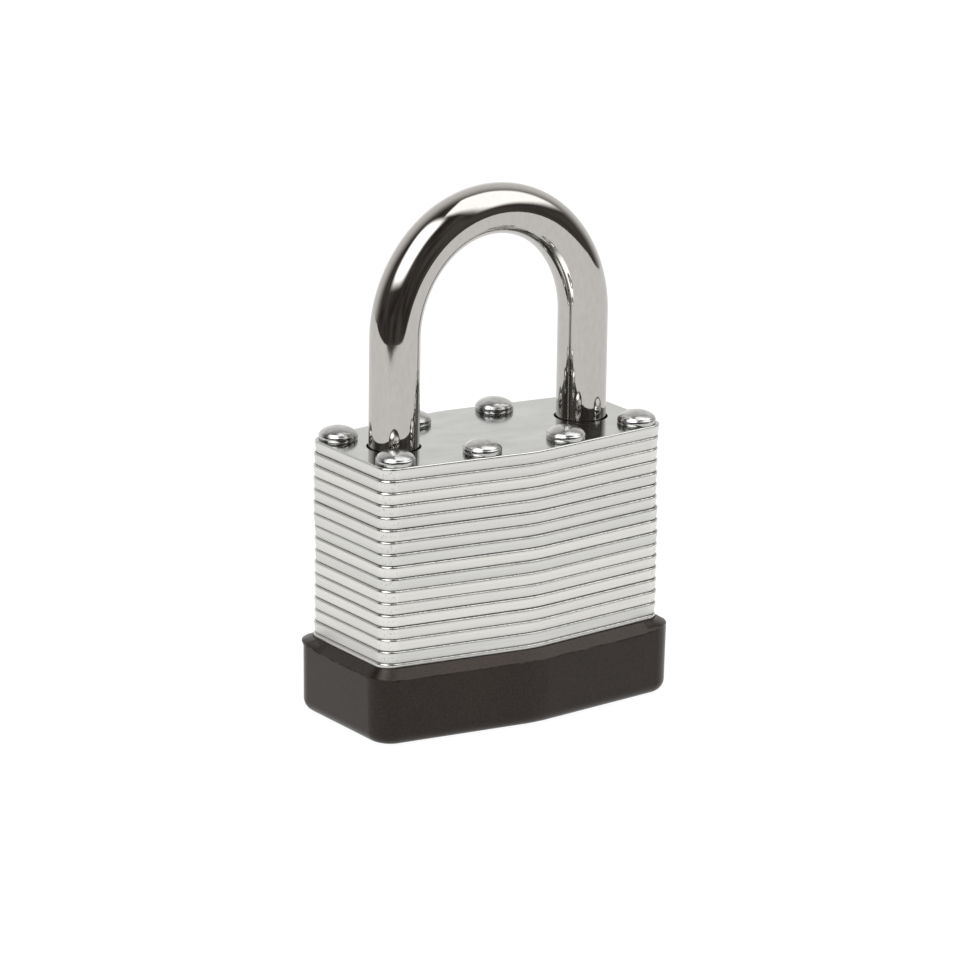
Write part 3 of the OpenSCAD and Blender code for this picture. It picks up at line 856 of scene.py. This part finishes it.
# %% Sizes and helpers for the bumper's lip
bumper_shift = 0.095 * mm
wall_over = 1.165 * mm
lip_out = 0.08 * mm
rim_drop = 1.2 * mm
rim_lip = 0.15 * mm
foot_r = 1.5 * mm
lip_waver = 0.05 * mm
lip_steps = [0.03 * mm, 0.08 * mm, 0.06 * mm]
right_pulls = [(4.5, 0.0, 0.12), (3.5, 0.01, 0.16), (2.5, 0.01, 0.16)]
left_pulls = [(5.0, 0.02, 0.12), (4.0, 0.05, 0.18), (3.0, 0.08, 0.18), (2.2, 0.05, 0.10)]
print("lip:", round(sum(lip_steps) / mm, 2), "mm high,", round(lip_out / mm, 2), "mm proud of the wall")


def long_and_level(edge):
    """True for an edge over 1.5 mm long whose two ends are equally high."""
    first, second = edge.verts
    return abs(first.co.z - second.co.z) < touch and edge.calc_length() > 1.5 * mm


def flare(side, end, low, high, pulls):
    """Draw the lip near a corner out and up; each pull is a distance, a shift and a rise in mm."""
    corner = Vector((side * (half_w + wall_over), end * (half_d + wall_over)))
    for reach, out, rise in pulls:
        near = reach * mm
        pick("VERT", lambda middle, vertex: low < middle.z < high and (middle.xy - corner).length < near)
        away = corner.normalized() * out * mm
        bpy.ops.transform.translate(value=(away.x, away.y, rise * mm))


# %% The bumper's outside
def make_bumper():
    """The outer block: rounded foot, plain wall, an uneven lip and the sloped rim."""
    rim_low = bumper_high.z - rim_drop
    piece = body_blank("bumper_moulded", wall_over, bumper_low.z, rim_low)
    pick_cap(bumper_low.z)
    bpy.ops.mesh.region_to_loop()
    bpy.ops.mesh.bevel(offset_type="OFFSET", offset=foot_r, segments=6, profile=0.5, affect="EDGES")
    pick_cap(rim_low)
    for rise in lip_steps:
        step_in(0, rise)
    step_in(wall_over - rim_lip, rim_drop - sum(lip_steps))
    # Long edges of the lip and the rim are divided, so that the lip can waver
    pick("EDGE", lambda middle, edge: middle.z > rim_low - hair and long_and_level(edge))
    bpy.ops.mesh.subdivide(number_cuts=24)
    lip_low = rim_low + lip_steps[0] / 2
    lip_high = rim_low + sum(lip_steps) + 10 * hair
    ring_high = rim_low + sum(lip_steps[:2]) + hair
    pick("FACE", lambda middle, face: lip_low < middle.z < ring_high and abs(face.normal.z) < 0.1)
    bpy.ops.transform.shrink_fatten(value=lip_out, use_even_offset=True)
    bpy.ops.transform.vertex_random(offset=lip_waver, uniform=0.2, normal=0.3, seed=4)
    # Two corners, where the mould parted, flare upwards
    flare(1, -1, lip_low, lip_high + 0.5 * mm, right_pulls)
    flare(-1, 1, lip_low, lip_high + 0.6 * mm, left_pulls)
    bpy.ops.mesh.select_all(action="SELECT")
    bpy.ops.transform.translate(value=(bumper_shift, 0, 0))
    close_piece()
    return piece


bumper = make_bumper()
print("bumper:", [round(v / mm, 2) for v in bumper.dimensions])

# %% The hollow, the rivet pockets and the key hole
play = 0.05 * mm
wall_inside = 0.6 * mm
overlap = 0.2 * mm
full_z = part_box(shown_plates[0])[0].z
ledge_low, ledge_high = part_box("plate_03")
for name, grow, low, high in (
    ("hollow", play - wall_inside, stack_low, bumper_high.z + cutter_over),
    ("ledge", play, ledge_low.z - play, ledge_high.z + play),
    ("seat", play, full_z, bumper_high.z + cutter_over),
):
    hollow = body_blank(name, grow, low, high)
    close_piece()
    carve(bumper, hollow)
pocket_r = 2.5 * mm
pocket_h = 0.9 * mm
pocket = [(pocket_r, stack_low - pocket_h), (pocket_r, stack_low + overlap)]
for spot in rivet_spots:
    carve(bumper, turned("pocket", pocket, spot))
mouth_r = 6 * mm
mouth_chamfer = 0.6 * mm
below = 0.5 * mm
mouth = [(mouth_r + mouth_chamfer + below, -below), (mouth_r, mouth_chamfer), (mouth_r, stack_low + overlap)]
carve(bumper, turned("key_mouth", mouth, (0, 0), 64))
smooth(bumper, 40)
paint(bumper_plastic, bumper)
hand_over(bumper, "body", "bumper_plastic", "bumper")

# %% [markdown]
# ## The working parts
# The parts inside keep the shapes of the solid model. Each gets the finish it has in a real lock:
# turned brass for the cylinder, plug and pins, bright drawn wire for the springs, and ground or
# stamped steel for the bolts and clips.

# %% Brass and steel for the working parts
def plain_metal(name, pale, dark, roughness, lengths, relief):
    """A metal whose tone and tool marks follow a stretched pattern, given in millimetres."""
    material, tree, surface = new_material(name, Metallic=1, Roughness=roughness)
    marks = add(tree, "Mapping", add(tree, "TexCoord").outputs["Object"], Scale=grains(*lengths))
    marks = add(tree, "TexNoise", marks, Scale=1.0, Detail=3.0)
    tint = add(tree, "ValToRGB", marks, stops=[(0.3, dark), (0.7, pale)])
    bump = add(tree, "Bump", Height=marks, Strength=0.3, Distance=relief * mm)
    connect(surface, Base_Color=tint, Normal=bump)
    return material


finishes = {
    "drawn_brass": plain_metal("drawn_brass", "#d9bf7c", "#c2a45c", 0.28, (0.3, 0.3, 5), 0.02),
    "turned_brass": plain_metal("turned_brass", "#e0c684", "#c9aa60", 0.24, (4, 4, 0.15), 0.02),
    "cast_brass": plain_metal("cast_zinc_brass", "#cdb988", "#b09a66", 0.42, (0.5, 0.5, 0.5), 0.03),
    "spring_wire": plain_metal("drawn_spring_wire", "#b3b5b7", "#8f9194", 0.3, (0.4, 0.4, 0.4), 0.01),
    "ground_steel": plain_metal("ground_steel", "#c4c5c3", "#a3a4a3", 0.3, (6, 0.12, 6), 0.02),
    "blued_clip": plain_metal("oiled_spring_steel", "#8e9092", "#6f7173", 0.35, (1, 1, 1), 0.01),
}
worn_by = {
    "cylinder_body": "drawn_brass",
    "cylinder_strip": "drawn_brass",
    "driver_pins": "turned_brass",
    "key_pins": "turned_brass",
    "plug": "turned_brass",
    "cam": "cast_brass",
    "pin_springs": "spring_wire",
    "shackle_spring": "spring_wire",
    "bolt_left": "ground_steel",
    "bolt_right": "ground_steel",
    "heel_clip": "blued_clip",
    "plug_ring": "blued_clip",
}
for node, finish in worn_by.items():
    paint(finishes[finish], frame["nodes"][node])
for node in plate_names:
    if node not in shown_plates:
        paint(plate_edge, frame["nodes"][node])
print("working parts painted:", len(worn_by))

# %% [markdown]
# ## Floor, light and camera
# A mirror-like object shows the room more than itself, so the room is built with care. Two large
# softboxes stand to the left and the right, above the table; their light fades towards the edges.
# The side that the camera stands on is dark, the far side is pale, and the table is white. The
# camera sees a white background everywhere, through the light path's camera ray, but the metal
# still sees the dark side of the room. Both the camera and the metal see the table as white.

# %% Directions
def towards(azimuth, rise):
    """The direction at an azimuth from the front, to the right, and a rise, both in degrees."""
    turn = math.radians(azimuth)
    climb = math.radians(rise)
    return Vector((math.sin(turn) * math.cos(climb), -math.cos(turn) * math.cos(climb), math.sin(climb)))


print("straight to the front is", [round(v) for v in towards(0, 0)])

# %% The table
table_front = -20.2
table_reach = 0.20
table_width = 1.40
table_depth = 0.80
table_gap = 0.02 * mm
table_middle = towards(table_front, 0) * (table_reach - table_depth / 2)
table_middle.z = solid_low.z - table_gap
table_turn = (0, 0, math.radians(table_front))
bpy.ops.mesh.primitive_plane_add(size=1, location=table_middle, rotation=table_turn)
floor = bpy.context.active_object
floor.scale = (table_width, table_depth, 1)
floor.name = "table_top"
print("floor at", floor.location.z)

# %% The white of the table
white_table, tree, surface = new_material("white_table", Roughness=0.6, Base_Color=linear("#f4f4f3"))
# To the camera and in mirrors it is mostly an even white glow, a little stronger to the camera
path = add(tree, "LightPath")
camera_ray = path.outputs["Is Camera Ray"]
strength = add(tree, "Math", camera_ray, 0.2, 0.92, operation="MULTIPLY_ADD")
glow = add(tree, "Emission", Color=linear("#ffffff"), Strength=strength)
seen = camera_ray
for ray in ("Is Glossy Ray", "Is Transmission Ray"):
    seen = add(tree, "Math", seen, path.outputs[ray], operation="MAXIMUM")
seen = add(tree, "Math", seen, 0.85, operation="MULTIPLY")
shown = add(tree, "MixShader", seen, surface, glow)
# The table's front edge is rounded off to the left, in three straight cuts that are a little
# blurred. It is clear from below, so that the underside can be looked at
edge_blur = 0.006
place = add(tree, "NewGeometry")
there = add(tree, "Math", 1.0, place.outputs["Backfacing"], operation="SUBTRACT")
for side, reach in ((table_front, 0.1975), (-35, 0.1945), (-50, 0.191)):
    cut = add(tree, "VectorMath", place.outputs["Position"], towards(side, 0), operation="DOT_PRODUCT")
    cut = add(tree, "MapRange", cut, reach - edge_blur, reach, 1.0, 0.0, **soft)
    there = add(tree, "Math", there, cut, operation="MULTIPLY")
faded = add(tree, "MixShader", there, add(tree, "BsdfTransparent"), shown)
connect(tree.nodes["Material Output"], Surface=faded)
paint(white_table, floor)
print("material", white_table.name)

# %% Room
dark_side = towards(-24.3, 0.1)
pale_side = towards(158.6, 0.3)
world = bpy.data.worlds.new("studio")
bpy.context.scene.world = world
world.use_nodes = True
tree = world.node_tree
# Towards the dark side the room darkens and shows faint shapes
direction = add(tree, "TexCoord").outputs["Generated"]
gloom = add(tree, "VectorMath", direction, dark_side, operation="DOT_PRODUCT")
gloom = add(tree, "MapRange", gloom, -0.777, -0.079, **soft)
shapes = add(tree, "TexNoise", direction, Scale=3.0, Detail=3.0)
shapes = add(tree, "ValToRGB", shapes, stops=[(0.35, "#322d2b"), (0.65, "#54504d")])
room = add(tree, "Mix", data_type="RGBA", Factor=gloom, A=linear("#eae9e7"), B=shapes)
# The camera sees plain white in place of the room
camera_ray = add(tree, "LightPath").outputs["Is Camera Ray"]
view = add(tree, "Mix", data_type="RGBA", Factor=camera_ray, A=room, B=linear("#ffffff"))
# The middle of the pale side is brighter still, but not to the camera
power = add(tree, "VectorMath", direction, pale_side, operation="DOT_PRODUCT")
power = add(tree, "MapRange", power, 0.85, 0.999, 0.0, 0.3, **soft)
unseen = add(tree, "Math", 1.0, camera_ray, operation="SUBTRACT")
power = add(tree, "Math", unseen, power, 1.0, operation="MULTIPLY_ADD")
connect(tree.nodes["Background"], Color=view, Strength=power)
print("dark side of the room:", [round(v, 2) for v in dark_side])

# %% Softboxes
lamp_aim = Vector((0, 0, 0.05))


def softbox(name, azimuth, rise, lean, half_width, low, high, side_fade, end_fade, strength):
    """A soft-edged lamp one metre away; angles in degrees, lengths from its aim in its own plane."""
    width = 2 * half_width
    length = high - low
    lamp_data = bpy.data.lights.new(name, "AREA")
    lamp_data.shape = "RECTANGLE"
    lamp_data.size = width
    lamp_data.size_y = length
    # The energy that gives the lamp's face its brightness grows with its area
    lamp_data.energy = strength * math.pi * width * length
    lamp_data.use_nodes = True
    tree = lamp_data.node_tree
    place = add(tree, "SeparateXYZ", add(tree, "NewGeometry").outputs["Parametric"])
    fades = []
    for axis, fade in (("X", side_fade / half_width), ("Y", 2 * end_fade / length)):
        edge = add(tree, "Math", place.outputs[axis], 2.0, -1.0, operation="MULTIPLY_ADD")
        edge = add(tree, "Math", edge, operation="ABSOLUTE")
        fades.append(add(tree, "MapRange", edge, 1 - fade, 1.0, 1.0, 0.0, **soft))
    connect(tree.nodes["Emission"], Strength=add(tree, "Math", *fades, operation="MULTIPLY"))
    lamp = bpy.data.objects.new(name, lamp_data)
    bpy.context.scene.collection.objects.link(lamp)
    face = towards(azimuth, rise)
    turn = math.radians(azimuth)
    side = Vector((math.cos(turn), math.sin(turn), 0))
    up = face.cross(side)
    tilt = math.radians(lean)
    turned_side = side * math.cos(tilt) + up * math.sin(tilt)
    turned_up = up * math.cos(tilt) - side * math.sin(tilt)
    centre = lamp_aim + face + turned_up * (low + high) / 2
    rotation = Matrix((turned_side, turned_up, face)).transposed().to_4x4()
    lamp.matrix_world = Matrix.Translation(centre) @ rotation
    lamp.visible_camera = False
    return lamp


left_box = softbox(
    "softbox_left", azimuth=-71.5, rise=44.7, lean=-1, half_width=0.58, low=-0.50, high=0.66,
    side_fade=0.42, end_fade=0.36, strength=4.4,
)
right_box = softbox(
    "softbox_right", azimuth=53.5, rise=32.75, lean=2.8, half_width=0.60, low=-0.28, high=1.67,
    side_fade=0.25, end_fade=0.25, strength=1.85,
)
print("softboxes:", left_box.name, right_box.name)

# %% Camera
target = Vector((-0.000251, 0.000172, 0.027093))
back = towards(-34.331, 15.942)
distance = 0.62625
roll = Matrix.Rotation(math.radians(0.853), 4, "Z")
camera_data = bpy.data.cameras.new("camera")
camera_data.lens = 193.0
camera_data.sensor_width = 36.0
camera_data.clip_start = 0.05
camera = bpy.data.objects.new("camera", camera_data)
bpy.context.scene.collection.objects.link(camera)
facing = back.to_track_quat("Z", "Y").to_matrix().to_4x4()
camera.matrix_world = Matrix.Translation(target + back * distance) @ facing @ roll
bpy.context.scene.camera = camera
bpy.context.scene.view_settings.view_transform = "Standard"
print("camera at", [round(v, 3) for v in camera.matrix_world.translation])
